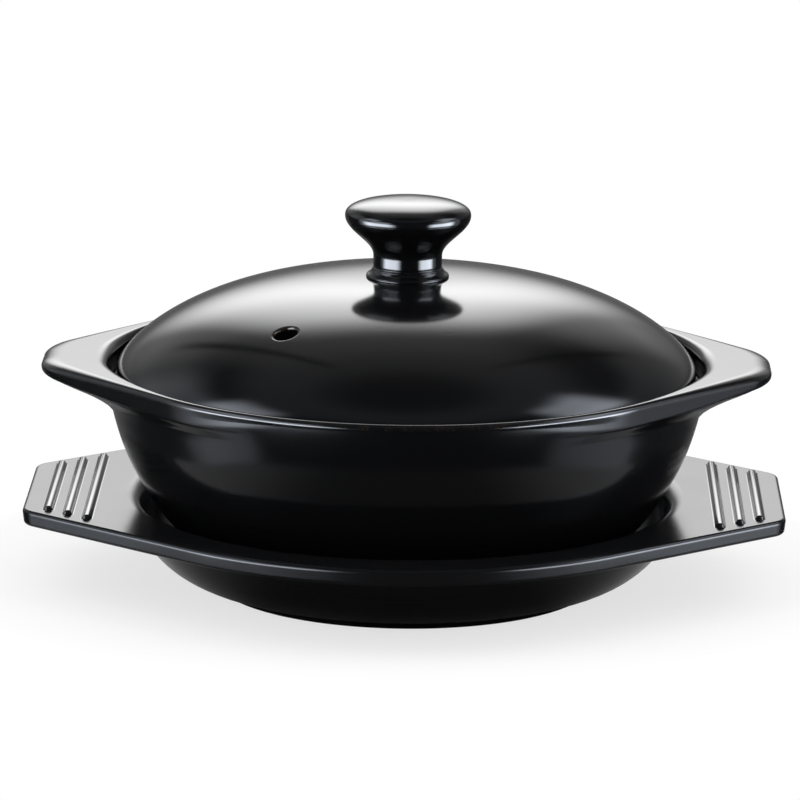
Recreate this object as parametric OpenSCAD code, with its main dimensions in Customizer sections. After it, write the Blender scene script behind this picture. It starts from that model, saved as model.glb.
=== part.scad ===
// Casserole of glazed black stoneware with a domed lid, standing in a winged tray.
// Millimetres, +Z up. The origin is the middle of the tray's foot, on the table.
// X runs through the two lugs and the two wings, and -Y is the front.

/* [Tray outline] */
// Length over both wings
tray_len = 280; // [266:1:300]
// Radius of the round middle of the lip
tray_r = 118; // [113:0.5:124]
// Half of the straight end of a wing
wing_end_half = 31.5; // [22:0.5:42]
// Radius of a wing's corners
wing_corner_r = 10; // [5:0.5:16]

/* [Tray section] */
// Height of the lip above the table
tray_h = 34; // [28:0.5:44]
// Thickness of the lip
lip_t = 6; // [5:0.25:8]
// Rounding of the lip's upper edge
lip_round = 3; // [1.5:0.25:3.25]
// Rounding of the lip's lower edge
lip_round_low = 1.5; // [0.75:0.25:1.75]
// Radius of the well's mouth
well_r = 103.5; // [102:0.25:107]
// Rounding of the well's mouth
well_round = 6.5; // [3:0.25:8]
// Radius of the well's flat floor
well_floor_r = 67; // [64:0.5:74]
// Thickness of the tray's side wall
tray_wall = 4.2; // [3:0.2:6]
// Thickness of the well's floor
tray_floor = 4.5; // [3:0.25:7]
// Outer radius of the tray's foot ring
foot_r = 71; // [62:0.5:76]
// Width of the tray's foot ring
foot_w = 5; // [3:0.5:10]
// Height of the tray's foot ring
foot_h = 3; // [1.5:0.25:5]

/* [Grip ribs] */
// Ribs on each wing
rib_count = 3; // [1:1:3]
// Margin between the well's mouth and the field of ribs
rib_in = 8.2; // [6.5:0.1:12]
// Margin between the field of ribs and the wing's end
rib_out = 6; // [4.5:0.1:12]
// Radius of a rib
rib_r = 1.6; // [1:0.1:2.2]
// Margin from a rib's end to the slanting edge
rib_margin = 7; // [5:0.25:12]

/* [Pot outline] */
// Length over both lugs
pot_len = 269.5; // [256:0.5:284]
// Radius of the round rim
pot_r = 113.3; // [111:0.1:118]
// Half of the straight end of a lug
lug_end_half = 11; // [6:0.5:20]
// Radius of a lug's corners
lug_corner_r = 25; // [16:0.5:30]

/* [Pot section] */
// Height of the pot from its foot to its rim
pot_h = 77.8; // [70:0.2:95]
// Thickness of a lug at its tip
lug_t = 5.5; // [4:0.25:8]
// Rounding of the rim's outer edge
rim_round = 2; // [1:0.1:2.2]
// Rounding of a lug's lower edge
lug_round_low = 1.5; // [0.5:0.1:1.8]
// Rounding of the recess's edge at the middle of a lug
lug_round_in = 4.5; // [1:0.25:6]
// Depth of the web under a lug
web_h = 13.5; // [8:0.5:20]
// Thickness of the rim outside the lid
rim_t = 3.6; // [3.2:0.1:5]
// Depth of the lid's recess
gallery_h = 10.3; // [8:0.1:14]
// Width of the ledge that carries the lid
ledge_w = 8.2; // [6:0.1:10]
// Radius of the pot's base
base_r = 66; // [56:0.5:66.5]
// Thickness of the pot's floor
pot_floor = 6; // [4:0.25:9]
// Radius of the floor inside
inner_floor_r = 60; // [48:0.5:61]
// Height of the pot's foot ring
pot_foot_h = 2.5; // [1.5:0.25:4]
// Width of the pot's foot ring
pot_foot_w = 8; // [4:0.5:14]

/* [Lid] */
// Play between the lid's edge and the recess
lid_clear = 2.6; // [1:0.1:4]
// Height of the lid's upright edge
lid_edge_h = 7.4; // [4:0.1:10]
// Rise of the dome above the edge
dome_h = 33.4; // [24:0.2:44]
// Thickness of the lid
lid_t = 5.5; // [4:0.25:7]
// Rounding under the lid's edge
lid_round = 1.7; // [0.5:0.1:2.5]
// Diameter of the steam hole
vent_d = 8.7; // [5:0.1:12]
// Distance of the steam hole from the middle
vent_reach = 73; // [50:0.5:85]
// Direction of the steam hole
vent_turn = -126; // [-180:1:180]
// Width of the bevel round the steam hole
vent_bevel = 0.8; // [0.3:0.1:1.5]

/* [Knob] */
// Diameter of the cap
knob_d = 46.5; // [38:0.5:58]
// Diameter of the neck
neck_d = 25.4; // [18:0.2:30]
// Diameter of the knob's foot
knob_foot_d = 30.8; // [30.2:0.2:38]
// Height of the knob
knob_h = 29; // [25:0.2:38]
// Rise of the cap above its widest line
cap_h = 6; // [3:0.1:8]
// Height of the flare from cap to neck
flare_h = 14.9; // [10:0.1:16]
// Radius of the cove above the foot
cove_r = 2.6; // [1.5:0.1:3]

/* [Hidden] */
$fn = 96;

// Steps round a corner, along a slanting edge and round the middle, in a quarter
CORNER_STEPS = 3;
EDGE_STEPS = 3;
ARC_STEPS = 8;
// Steps of a small rounding, and of a bowl's wall
ROUND_STEPS = 3;
WALL_STEPS = 7;
// Exponents that say how square a bowl's wall, the cap and the dome are
TRAY_BULGE = 1.84;
POT_BULGE = 1.56;
CAP_BULGE = 2.6;
DOME_BULGE = 2.71;
DOME_EDGE = 1.31;
// Course of the web under a lug: share of the way down, and share of the way out to the edge
WEB = [[0.3, 0.5], [0.65, 0.14], [1, 0]];
// How far a cutter runs past the face that it opens
PAST = 10;
// Step from the wall's lower edge in to the foot ring
FOOT_STEP = 0.8;
// Roundings inside the pot: the ledge's edge and its corner
LEDGE_ROUND = 1.5;
LEDGE_CORNER = 0.8;

CERAMIC = [0.06, 0.06, 0.065];
PLASTIC = [0.1, 0.1, 0.11];

// Levels, from the table up
lip_low_z = tray_h - lip_t;
well_z = foot_h + tray_floor;
pot_low_z = well_z + pot_foot_h;
rim_z = well_z + pot_h;
pot_floor_z = pot_low_z + pot_floor;
ledge_z = rim_z - gallery_h;
lug_low_z = rim_z - lug_t;
dome_z = ledge_z + lid_edge_h;

// Radii that follow from the sizes above
gallery_r = pot_r - rim_t;
ledge_r = gallery_r - ledge_w;
lid_r = gallery_r - lid_clear;
rim_round_in = 0.7 * (rim_t - rim_round);
knob_foot_r = knob_foot_d / 2;

function mix(a, b, t) = a + (b - a) * t;

// Turn of a slanting edge's normal from X, for a corner centred at c
function slant(r, c, corner) = atan2(c.y, c.x) + acos((r - corner) / norm(c));

// Points of a quarter outline as [x, y, direction of the normal]
function quarter(r, len, end_half, corner) =
    let (c = [len / 2 - corner, end_half], turn = slant(r, c, corner))
    let (from = c + corner * [cos(turn), sin(turn)], to = r * [cos(turn), sin(turn)])
    concat(
        [[len / 2, 0, 0]],
        [for (i = [0 : CORNER_STEPS]) let (a = turn * i / CORNER_STEPS)
            [c.x + corner * cos(a), c.y + corner * sin(a), a]],
        [for (i = [1 : EDGE_STEPS - 1]) let (p = mix(from, to, i / EDGE_STEPS))
            [p.x, p.y, turn]],
        [for (i = [0 : ARC_STEPS]) let (a = mix(turn, 90, i / ARC_STEPS))
            [r * cos(a), r * sin(a), a]]);

// The whole outline, counter-clockwise, from its quarter
function outline(q) = let (last = len(q) - 1) concat(
    q,
    [for (i = [last - 1 : -1 : 0]) [-q[i][0], q[i][1], 180 - q[i][2]]],
    [for (i = [1 : last]) [-q[i][0], -q[i][1], 180 + q[i][2]]],
    [for (i = [last - 1 : -1 : 1]) [q[i][0], -q[i][1], -q[i][2]]]);

// A point set in from the outline, and one on a circle in the same direction
function inset(o, d, z) = [o[0] - d * cos(o[2]), o[1] - d * sin(o[2]), z];
function on_circle(o, r, z) = let (u = [o[0], o[1]] / norm([o[0], o[1]])) [r * u.x, r * u.y, z];

// A bowl's wall at angle a, 0 at its foot and 90 at its top: [radius, height]
function wall(foot, top, bulge, a) = [
    mix(foot[0], top[0], pow(sin(a), 2 / bulge)),
    top[1] - (top[1] - foot[1]) * pow(cos(a), 2 / bulge)];
function wall_angle(foot, top, bulge, z) = acos(pow((top[1] - z) / (top[1] - foot[1]), bulge / 2));

// An arc from angle a to angle b as [radius, height] points, with or without its first one
function arc(c, r, a, b, skip = false) = [for (i = [skip ? 1 : 0 : ROUND_STEPS])
    let (t = mix(a, b, i / ROUND_STEPS)) [c[0] + r * cos(t), c[1] + r * sin(t)]];

// Rings of a skin: at a depth in from the outline's edge, and on circles
function edge_rings(plan, points) = [for (e = points) [for (o = plan) inset(o, -e[0], e[1])]];
function circle_rings(plan, points) = [for (p = points) [for (o = plan) on_circle(o, p[0], p[1])]];

// A bowl's wall from its foot up to angle a, or from there down to its foot
function bowl_rings(plan, foot, top, bulge, a, down = false) = circle_rings(plan,
    [for (i = [0 : WALL_STEPS]) wall(foot, top, bulge, a * (down ? WALL_STEPS - i : i) / WALL_STEPS)]);

// A foot ring of outer radius r and width w, from height z up by h
function foot_rings(plan, r, w, z, h) = circle_rings(plan,
    [[r, z + h], [r, z], [r - w, z], [r - w, z + h]]);

// Closed skin through rings that run from the inside out and down, each counter-clockwise
module skin(rings) {
    n = len(rings[0]);
    low = (len(rings) - 1) * n;
    sides = [for (j = [0 : len(rings) - 2]) for (i = [0 : n - 1])
        let (a = j * n + i, b = j * n + (i + 1) % n)
        each [[a, b, b + n], [a, b + n, a + n]]];
    caps = [[for (i = [n - 1 : -1 : 0]) i], [for (i = [0 : n - 1]) low + i]];
    polyhedron(points = [for (r = rings) each r], faces = concat(caps, sides));
}

tray_plan = outline(quarter(tray_r, tray_len, wing_end_half, wing_corner_r));
tray_slant = slant(tray_r, [tray_len / 2 - wing_corner_r, wing_end_half], wing_corner_r);
// The well's inside, and its outside, which ends halfway up the lip
well_foot = [well_floor_r, well_z];
well_top = [well_r - well_round, tray_h - well_round];
tray_foot = [foot_r + FOOT_STEP, foot_h];
tray_top = [well_top[0] + tray_wall, tray_h - lip_t / 2];
tray_start = wall_angle(tray_foot, tray_top, TRAY_BULGE, lip_low_z - lip_round_low);

// The tray's skin: well, mouth, lip, underside of the wings, outside of the well, foot ring
function tray_rings() = concat(
    bowl_rings(tray_plan, well_foot, well_top, TRAY_BULGE, 90),
    circle_rings(tray_plan, arc([well_r, well_top[1]], well_round, 180, 90, true)),
    edge_rings(tray_plan, arc([-lip_round, tray_h - lip_round], lip_round, 90, 0)),
    edge_rings(tray_plan, arc([-lip_round_low, lip_low_z + lip_round_low], lip_round_low, 0, -90)),
    circle_rings(tray_plan, [[tray_top[0] + lip_round_low, lip_low_z]]),
    bowl_rings(tray_plan, tray_foot, tray_top, TRAY_BULGE, tray_start, true),
    foot_rings(tray_plan, foot_r, foot_w, 0, foot_h));

// A half-round rib with round ends, sunk in the wing to half its height
module rib(x) {
    slant_y = (tray_r - x * cos(tray_slant)) / sin(tray_slant);
    half = slant_y - rib_margin - rib_r;
    translate([x, 0, tray_h]) rotate([90, 0, 0]) rotate([0, 0, -90]) rotate_extrude()
        polygon(concat(arc([0, -half], rib_r, -90, 0), arc([0, half], rib_r, 0, 90)));
}

module tray() {
    color(PLASTIC) union() {
        skin(tray_rings());
        for (side = [0, 180]) rotate([0, 0, side]) for (i = [0 : rib_count - 1])
            rib(mix(well_r + rib_in, tray_len / 2 - rib_out, (i + 0.5) / rib_count));
    }
}

pot_plan = outline(quarter(pot_r, pot_len, lug_end_half, lug_corner_r));
// The bowl's outside from its base to its rim, and its inside up to the ledge
pot_base = [base_r + FOOT_STEP, pot_low_z];
pot_top = [pot_r, rim_z];
inner_foot = [inner_floor_r, pot_floor_z];
inner_top = [ledge_r, ledge_z - LEDGE_ROUND];

// Share of a lug's full reach at an outline point, 0 along the round rim
function reach(o) = min(1, (norm([o[0], o[1]]) - pot_r) / (pot_len / 2 - pot_r));

// Rounding of the recess's edge: small along the round rim, wider towards a lug
function round_in(o) = mix(rim_round_in, lug_round_in, reach(o));

// The web under a lug meets the wall at this height: lower where the lug reaches further
function web_z(o) = lug_low_z - web_h * mix(0.5, 1, reach(o));

// A point of the web, t of the way down, and a share of it out from the wall to the edge
function web_point(o, t, share) =
    let (z = mix(lug_low_z, web_z(o), t))
    let (w = wall(pot_base, pot_top, POT_BULGE, wall_angle(pot_base, pot_top, POT_BULGE, z)))
    mix(on_circle(o, w[0], z), inset(o, lug_round_low * reach(o), z), share);

// A point of the wall between the web and the base, t of the way down
function below_web(o, t) =
    let (a = wall_angle(pot_base, pot_top, POT_BULGE, web_z(o)) * (1 - t))
    let (w = wall(pot_base, pot_top, POT_BULGE, a))
    on_circle(o, w[0], w[1]);

// The pot's skin: inside, ledge, recess, rim and lugs, web, wall, foot ring
function pot_rings() = let (
        under = arc([-lug_round_low, lug_low_z + lug_round_low], lug_round_low, 0, -90))
    concat(
        bowl_rings(pot_plan, inner_foot, inner_top, POT_BULGE, 90),
        circle_rings(pot_plan, concat(
            arc([ledge_r + LEDGE_ROUND, inner_top[1]], LEDGE_ROUND, 180, 90, true),
            arc([gallery_r - LEDGE_CORNER, ledge_z + LEDGE_CORNER], LEDGE_CORNER, -90, 0))),
        [for (e = arc([1, -1], 1, 180, 90)) [for (o = pot_plan)
            on_circle(o, gallery_r + e[0] * round_in(o), rim_z + e[1] * round_in(o))]],
        edge_rings(pot_plan, arc([-rim_round, rim_z - rim_round], rim_round, 90, 0)),
        [for (e = under) [for (o = pot_plan) inset(o, -e[0] * reach(o), e[1])]],
        [for (s = WEB) [for (o = pot_plan) web_point(o, s[0], s[1])]],
        [for (i = [1 : WALL_STEPS]) [for (o = pot_plan) below_web(o, i / WALL_STEPS)]],
        foot_rings(pot_plan, base_r, pot_foot_w, well_z, pot_foot_h));

module pot() {
    color(CERAMIC) skin(pot_rings());
}

// The dome's height at radius r above its edge, and its slope there
function dome(r) = dome_h * pow(1 - pow(r / lid_r, DOME_BULGE), 1 / DOME_EDGE);
function dome_slope(r) = let (s = pow(r / lid_r, DOME_BULGE))
    -dome_h * DOME_BULGE / DOME_EDGE * pow(1 - s, 1 / DOME_EDGE - 1) * s / r;
// The lid's inside, one thickness below the dome
function under_dome(r) = let (a = atan(dome_slope(r)))
    [r + lid_t * sin(a), dome_z + dome(r) - lid_t * cos(a)];

// The knob stands on a flat of its own size, where the dome is still that wide
seat_z = dome_z + dome(knob_foot_r);
DOME_STEPS = 16;

module lid_shell() {
    foot_z = ledge_z;
    rotate_extrude() polygon(concat(
        [[0, seat_z]],
        [for (i = [0 : DOME_STEPS]) let (a = 90 * i / DOME_STEPS)
            let (r = knob_foot_r + (lid_r - knob_foot_r) * sin(a))
            [r, dome_z + dome(min(r, lid_r))]],
        arc([lid_r - lid_round, foot_z + lid_round], lid_round, 0, -90),
        [[under_dome(0.97 * lid_r)[0], foot_z]],
        [for (i = [DOME_STEPS : -1 : 1]) under_dome(0.97 * lid_r * i / DOME_STEPS)],
        [[0, dome_z + dome_h - lid_t]]));
}

// The steam hole and the bevel round its mouth, square to the dome
module vent() {
    tilt = -atan(dome_slope(vent_reach));
    rotate([0, 0, vent_turn]) translate([vent_reach, 0, dome_z + dome(vent_reach)])
        rotate([0, tilt, 0]) {
            cylinder(d = vent_d, h = 2 * (lid_t + PAST), center = true);
            translate([0, 0, -vent_bevel])
                cylinder(d1 = vent_d, d2 = vent_d + 4 * vent_bevel, h = 2 * vent_bevel);
        }
}

module lid() {
    color(CERAMIC) difference() {
        lid_shell();
        vent();
    }
}

module knob() {
    cap_r = knob_d / 2;
    neck_r = neck_d / 2;
    cap_z = seat_z + knob_h - cap_h;
    foot_top = knob_foot_r - neck_r - cove_r;
    color(CERAMIC) rotate_extrude() polygon(concat(
        [[0, seat_z], [knob_foot_r, seat_z]],
        [for (i = [0 : ROUND_STEPS]) let (a = 90 * i / ROUND_STEPS)
            [knob_foot_r - foot_top - cove_r * sin(a), seat_z + 0.5 + cove_r * (1 - cos(a))]],
        [for (i = [0 : WALL_STEPS]) let (t = i / WALL_STEPS)
            [mix(neck_r, cap_r, 0.5 - 0.5 * cos(180 * t)), cap_z - flare_h * (1 - t)]],
        [for (i = [1 : WALL_STEPS]) let (a = 90 * i / WALL_STEPS)
            [cap_r * pow(cos(a), 2 / CAP_BULGE), cap_z + cap_h * pow(sin(a), 2 / CAP_BULGE)]]));
}

tray();
pot();
lid();
knob();
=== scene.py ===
"""Looks of a glazed stoneware casserole that stands in a winged tray.

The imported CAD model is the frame. Each sub-assembly is a class that builds smooth skins in
millimetres from the same sizes as the CAD source, dresses them, and hangs them on its body.
"""

import logging
import math
from collections.abc import Sequence
from dataclasses import dataclass, field, replace
from enum import Enum

import bpy
from mathutils import Matrix, Vector

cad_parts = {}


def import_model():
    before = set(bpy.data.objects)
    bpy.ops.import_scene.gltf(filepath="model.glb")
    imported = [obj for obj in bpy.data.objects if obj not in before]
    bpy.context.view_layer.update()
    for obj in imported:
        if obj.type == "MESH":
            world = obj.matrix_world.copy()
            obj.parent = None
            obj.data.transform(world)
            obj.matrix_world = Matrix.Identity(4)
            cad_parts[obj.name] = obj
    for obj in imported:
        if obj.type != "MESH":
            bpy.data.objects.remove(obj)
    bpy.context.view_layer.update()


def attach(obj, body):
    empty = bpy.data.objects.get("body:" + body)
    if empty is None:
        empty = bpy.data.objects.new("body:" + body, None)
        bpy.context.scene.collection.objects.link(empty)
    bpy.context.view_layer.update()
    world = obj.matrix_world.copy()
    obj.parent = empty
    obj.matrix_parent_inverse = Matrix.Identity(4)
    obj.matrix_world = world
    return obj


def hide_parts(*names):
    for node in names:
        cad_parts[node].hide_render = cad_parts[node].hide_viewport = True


LOG = logging.getLogger("casserole")
MM = 0.001
MICRON = 1e-6

Point = tuple[float, float]
# A point of an outline: x, y and the turn of the normal there, in radians
Station = tuple[float, float, float]
# Radius, height, number of the finish, and how far the coating has thinned
Spot = tuple[float, float, int, float]
# Places of the finishes in a ceramic piece's material slots
GLAZED, BARE, FLANK = 0, 1, 2
# Distance from an edge at which a ring holds the shading, in millimetres
HOLD = 0.3
# Shares of an upright face's height at which it has rings
FACE_SHARES = (0.1, 0.5, 0.9)


def mix(a: float, b: float, t: float) -> float:
    """Value a share t of the way from a to b."""
    return a + (b - a) * t


def smooth(t: float) -> float:
    """A share held between 0 and 1 and eased at both ends."""
    t = min(1.0, max(0.0, t))
    return t * t * (3 - 2 * t)


def arc(centre: Point, radius: float, start: float, end: float, steps: int) -> list[Point]:
    """Points of an arc.

    Args:
        centre: The arc's centre.
        radius: Its radius.
        start: Angle of the first point, in degrees.
        end: Angle of the last point, in degrees.
        steps: Number of chords.

    Returns:
        steps + 1 points in order.
    """
    angles = [math.radians(mix(start, end, i / steps)) for i in range(steps + 1)]
    return [(centre[0] + radius * math.cos(a), centre[1] + radius * math.sin(a)) for a in angles]


def line(a: Point, b: Point, steps: int, hold: float = 0.25) -> list[Point]:
    """Points between a and b without the ends, with one close to each end to hold the shading.

    Args:
        a: Start of the line, which isn't returned.
        b: End of the line, which isn't returned.
        steps: Number of equal stretches.
        hold: Distance of the holding points from the ends.

    Returns:
        The points in between, in order.
    """
    length = math.dist(a, b)
    if length < 4 * hold:
        return []
    shares = [hold / length] + [i / steps for i in range(1, steps)] + [1 - hold / length]
    return [(mix(a[0], b[0], t), mix(a[1], b[1], t)) for t in shares]


def bowl_point(foot: Point, top: Point, bulge: float, angle: float) -> Point:
    """Point of a bowl's wall, which is a quarter of a superellipse.

    Args:
        foot: Radius and height of the foot.
        top: Radius and height of the top.
        bulge: The exponent; 2 is an ellipse, and less is straighter.
        angle: Place on the quarter, 0 at the foot and 90 at the top.

    Returns:
        Radius and height.
    """
    a = math.radians(angle)
    return (
        mix(foot[0], top[0], math.sin(a) ** (2 / bulge)),
        top[1] - (top[1] - foot[1]) * math.cos(a) ** (2 / bulge),
    )


def bowl(foot: Point, top: Point, bulge: float, steps: int) -> list[Point]:
    """A bowl's wall from its foot to its top, in so many chords."""
    return [bowl_point(foot, top, bulge, mix(0, 90, i / steps)) for i in range(steps + 1)]


def bowl_angle(foot: Point, top: Point, bulge: float, z: float) -> float:
    """Angle at which a bowl's wall is at height z, in degrees."""
    return math.degrees(math.acos(((top[1] - z) / (top[1] - foot[1])) ** (bulge / 2)))


def spline(p: float, q: float, r: float, s: float, t: float) -> float:
    """Value a share t of the way from q to r on a Catmull-Rom curve through p, q, r and s."""
    square = (2 * p - 5 * q + 4 * r - s) * t * t
    cube = (3 * q - p - 3 * r + s) * t**3
    return 0.5 * (2 * q + (r - p) * t + square + cube)


def eased(points: Sequence[Point], steps: int) -> list[Point]:
    """A smooth line through points, without the first one.

    Args:
        points: The points it runs through.
        steps: Number of chords between two of them.

    Returns:
        The points after the first, in order.
    """
    held = [points[0], *points, points[-1]]
    found = []
    for spots in zip(held, held[1:], held[2:], held[3:]):
        for i in range(1, steps + 1):
            x, z = (spline(*values, i / steps) for values in zip(*spots, strict=True))
            found.append((x, z))
    return found


@dataclass(frozen=True)
class Outline:
    """Plan of a round form with two blunt ends along X.

    Attributes:
        round_r: Radius of the round middle.
        length: Length over both ends.
        end_half: Half of the straight part of an end.
        corner_r: Radius of an end's corners.
        end_steps: Chords of half the straight part.
        corner_steps: Chords of a corner.
        edge_steps: Chords of the slanting edge between a corner and the round middle.
        round_steps: Chords of a quarter's part of the round middle.
    """

    round_r: float
    length: float
    end_half: float
    corner_r: float
    end_steps: int = 4
    corner_steps: int = 12
    edge_steps: int = 8
    round_steps: int = 44

    @property
    def slant(self) -> float:
        """Turn of a slanting edge's normal from X, in radians."""
        x, y = self.length / 2 - self.corner_r, self.end_half
        return math.atan2(y, x) + math.acos((self.round_r - self.corner_r) / math.hypot(x, y))

    def quarter(self) -> list[Station]:
        """Points of the first quarter, from the middle of an end on."""
        turn, c = self.slant, (self.length / 2 - self.corner_r, self.end_half)
        start = Vector(c) + self.corner_r * Vector((math.cos(turn), math.sin(turn)))
        stop = self.round_r * Vector((math.cos(turn), math.sin(turn)))
        steps = self.end_steps
        found = [(self.length / 2, self.end_half * i / steps, 0.0) for i in range(steps)]
        for i in range(self.corner_steps + 1):
            a = turn * i / self.corner_steps
            x, y = c[0] + self.corner_r * math.cos(a), c[1] + self.corner_r * math.sin(a)
            found.append((x, y, a))
        for i in range(1, self.edge_steps):
            p = start.lerp(stop, i / self.edge_steps)
            found.append((p.x, p.y, turn))
        for i in range(self.round_steps + 1):
            a = mix(turn, math.pi / 2, i / self.round_steps)
            found.append((self.round_r * math.cos(a), self.round_r * math.sin(a), a))
        return found

    def around(self) -> list[Station]:
        """The whole outline, counter-clockwise."""
        q = self.quarter()
        return (
            q
            + [(-x, y, math.pi - a) for x, y, a in reversed(q[:-1])]
            + [(-x, -y, math.pi + a) for x, y, a in q[1:]]
            + [(x, -y, -a) for x, y, a in reversed(q[1:-1])]
        )


@dataclass
class Skin:
    """A closed skin through rings with equally many points, in millimetres.

    Attributes:
        rings: The rings in order, from the inside out and down, each counter-clockwise.
        finishes: For each ring, the finish of the faces between it and the one before.
        thin: For each ring, how much the coating has thinned there, from 0 to 1.
    """

    rings: list[list[Vector]] = field(default_factory=list)
    finishes: list[int] = field(default_factory=list)
    thin: list[float] = field(default_factory=list)

    def add(self, ring: list[Vector], finish: int = 0, thin: float = 0.0) -> None:
        """Adds a ring."""
        self.rings.append(ring)
        self.finishes.append(finish)
        self.thin.append(thin)

    def parts(self) -> "Parts":
        """The skin's points and faces, closed by a cap at either end."""
        count = len(self.rings[0])
        points = [p.copy() for ring in self.rings for p in ring]
        thin = [t for t, ring in zip(self.thin, self.rings, strict=True) for _ in ring]
        faces: list[tuple[int, ...]] = []
        finishes: list[int] = []
        for i in range(1, len(self.rings)):
            a, b = (i - 1) * count, i * count
            for j in range(count):
                k = (j + 1) % count
                faces.append((a + j, b + j, b + k, a + k))
                finishes.append(self.finishes[i])
        for first in (True, False):
            start = 0 if first else (len(self.rings) - 1) * count
            middle = sum((points[start + j] for j in range(count)), Vector()) / count
            centre = len(points)
            points.append(middle)
            thin.append(self.thin[0 if first else -1])
            for j in range(count):
                a, b = start + j, start + (j + 1) % count
                faces.append((centre, a, b) if first else (centre, b, a))
                finishes.append(GLAZED)
        return Parts(points, thin, faces, finishes)

    def mesh(self, name: str) -> bpy.types.Mesh:
        """The skin as a closed mesh, in metres."""
        return self.parts().mesh(name)


@dataclass
class Parts:
    """Points and faces of a mesh in the making, in millimetres.

    Attributes:
        points: The points.
        thin: How thin the coating is at each point, from 0 to 1.
        faces: The faces as numbers of points.
        finishes: The finish of each face.
    """

    points: list[Vector]
    thin: list[float]
    faces: list[tuple[int, ...]]
    finishes: list[int]

    def open_patch(self, loop: Sequence[int], inside: set[int]) -> None:
        """Takes out the faces that lie within a loop of points.

        Args:
            loop: The points of the loop.
            inside: The points that the loop encloses.
        """
        patch = inside | set(loop)
        kept = [i for i, face in enumerate(self.faces) if not patch.issuperset(face)]
        self.faces = [self.faces[i] for i in kept]
        self.finishes = [self.finishes[i] for i in kept]

    def strip(self, rings: Sequence[Sequence[int]], finishes: Sequence[int]) -> None:
        """Adds the faces between successive loops of points.

        Args:
            rings: The loops, with equally many points, each clockwise from outside.
            finishes: The finish of the faces between each loop and the next.
        """
        count = len(rings[0])
        for a, b, finish in zip(rings[:-1], rings[1:], finishes, strict=True):
            for j in range(count):
                k = (j + 1) % count
                self.faces.append((a[j], b[j], b[k], a[k]))
                self.finishes.append(finish)

    def add(self, ring: Sequence[Vector], thin: float = 0.0) -> list[int]:
        """Adds points and returns their numbers."""
        start = len(self.points)
        self.points.extend(ring)
        self.thin.extend([thin] * len(ring))
        return list(range(start, start + len(ring)))

    def mesh(self, name: str) -> bpy.types.Mesh:
        """The parts as a smooth-shaded mesh in metres, with the attribute "thin" on its points."""
        used = sorted({i for face in self.faces for i in face})
        number = {old: new for new, old in enumerate(used)}
        mesh = bpy.data.meshes.new(name)
        places = [tuple(self.points[i] * MM) for i in used]
        mesh.from_pydata(places, [], [[number[i] for i in face] for face in self.faces])
        mesh.polygons.foreach_set("material_index", self.finishes)
        mesh.polygons.foreach_set("use_smooth", [True] * len(self.faces))
        thin = mesh.attributes.new("thin", "FLOAT", "POINT")
        thin.data.foreach_set("value", [self.thin[i] for i in used])
        mesh.validate()
        mesh.update()
        return mesh


def turned(profile: Sequence[Point], segments: int) -> list[list[Vector]]:
    """Rings of a turned form.

    Args:
        profile: Radius and height of each ring.
        segments: Points of each ring.

    Returns:
        The rings.
    """
    turns = [2 * math.pi * j / segments for j in range(segments)]
    return [[Vector((r * math.cos(a), r * math.sin(a), z)) for a in turns] for r, z in profile]


def on_circle(plan: Sequence[Station], r: float, z: float) -> list[Vector]:
    """A ring on a circle, with its points in the directions of the outline's."""
    shares = [(x / math.hypot(x, y), y / math.hypot(x, y)) for x, y, _ in plan]
    return [Vector((x * r, y * r, z)) for x, y in shares]


def edge(plan: Sequence[Station], depth: float, z: float) -> list[Vector]:
    """A ring set in from the outline."""
    return [Vector((x - depth * math.cos(a), y - depth * math.sin(a), z)) for x, y, a in plan]


def between(a: Sequence[Vector], b: Sequence[Vector], share: float) -> list[Vector]:
    """A ring a share of the way from one ring to another."""
    return [p.lerp(q, share) for p, q in zip(a, b, strict=True)]


def foot_ring(r: float, width: float, z: float, height: float) -> list[Point]:
    """Profile of a foot ring and the floor within it.

    Args:
        r: The ring's outer radius.
        width: Its width.
        z: Height of its underside.
        height: How far it stands out.

    Returns:
        Radius and height of each ring, from the outside in.
    """
    soft, floor_w = 0.7, 12
    return [
        (r + HOLD, z + height),
        (r, z + height - 0.2),
        (r, z + soft + 0.2),
        *arc((r - soft, z + soft), soft, 0, -90, 4),
        *arc((r - width + soft, z + soft), soft, -90, -180, 4),
        (r - width, z + height - HOLD),
        (r - width - HOLD, z + height),
        (r - width - floor_w, z + height),
    ]


def place(
    name: str, mesh: bpy.types.Mesh, finishes: Sequence[bpy.types.Material]
) -> bpy.types.Object:
    """Puts a mesh in the scene at the origin with its finishes."""
    piece = bpy.data.objects.new(name, mesh)
    for finish in finishes:
        mesh.materials.append(finish)
    bpy.context.scene.collection.objects.link(piece)
    return piece


class Finish(Enum):
    """The finishes of this object, named by what they are."""

    GLAZE = "black_glaze"
    FLANK = "black_glaze_flank"
    CLAY = "bare_clay"
    MELAMINE = "black_melamine"
    RUBBED = "black_melamine_rubbed"


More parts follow.
